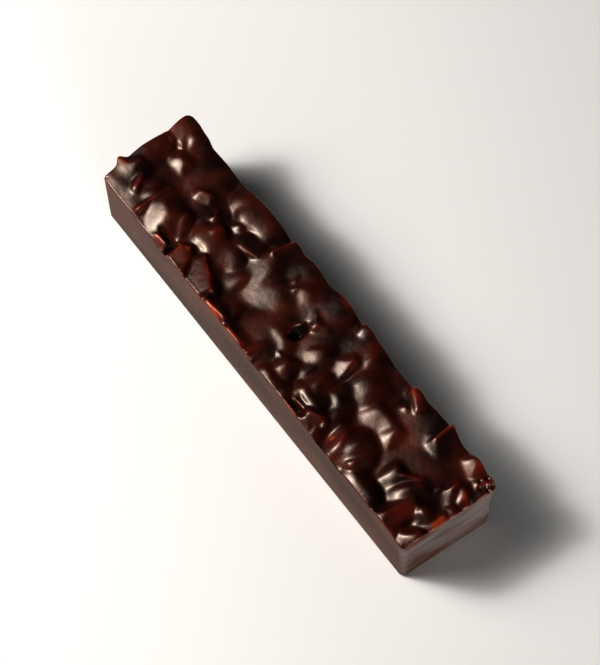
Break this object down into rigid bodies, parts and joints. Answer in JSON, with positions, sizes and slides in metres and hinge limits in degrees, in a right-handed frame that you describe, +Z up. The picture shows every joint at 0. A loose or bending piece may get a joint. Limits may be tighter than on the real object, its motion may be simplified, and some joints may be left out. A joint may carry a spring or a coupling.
{
  "type": "chocolate-coated nut bar",
  "caption": "Long bar coated in dark chocolate, with smooth moulded sides and a lumpy glossy top of coated chopped nuts. It rests on a flat base.",
  "frame": {"origin": "centre of the flat base, on the surface that the bar rests on", "axes": "+X along the bar's length, +Y across its width, +Z up through the lumpy top"},
  "size_m": [0.1332, 0.0291, 0.0222],
  "materials": {
    "dark_chocolate": "tempered dark chocolate, glossy over the nuts on top and satin on the moulded sides"
  },
  "bodies": {
    "root": {"coated_bar": "dark_chocolate"}
  },
  "joints": []
}
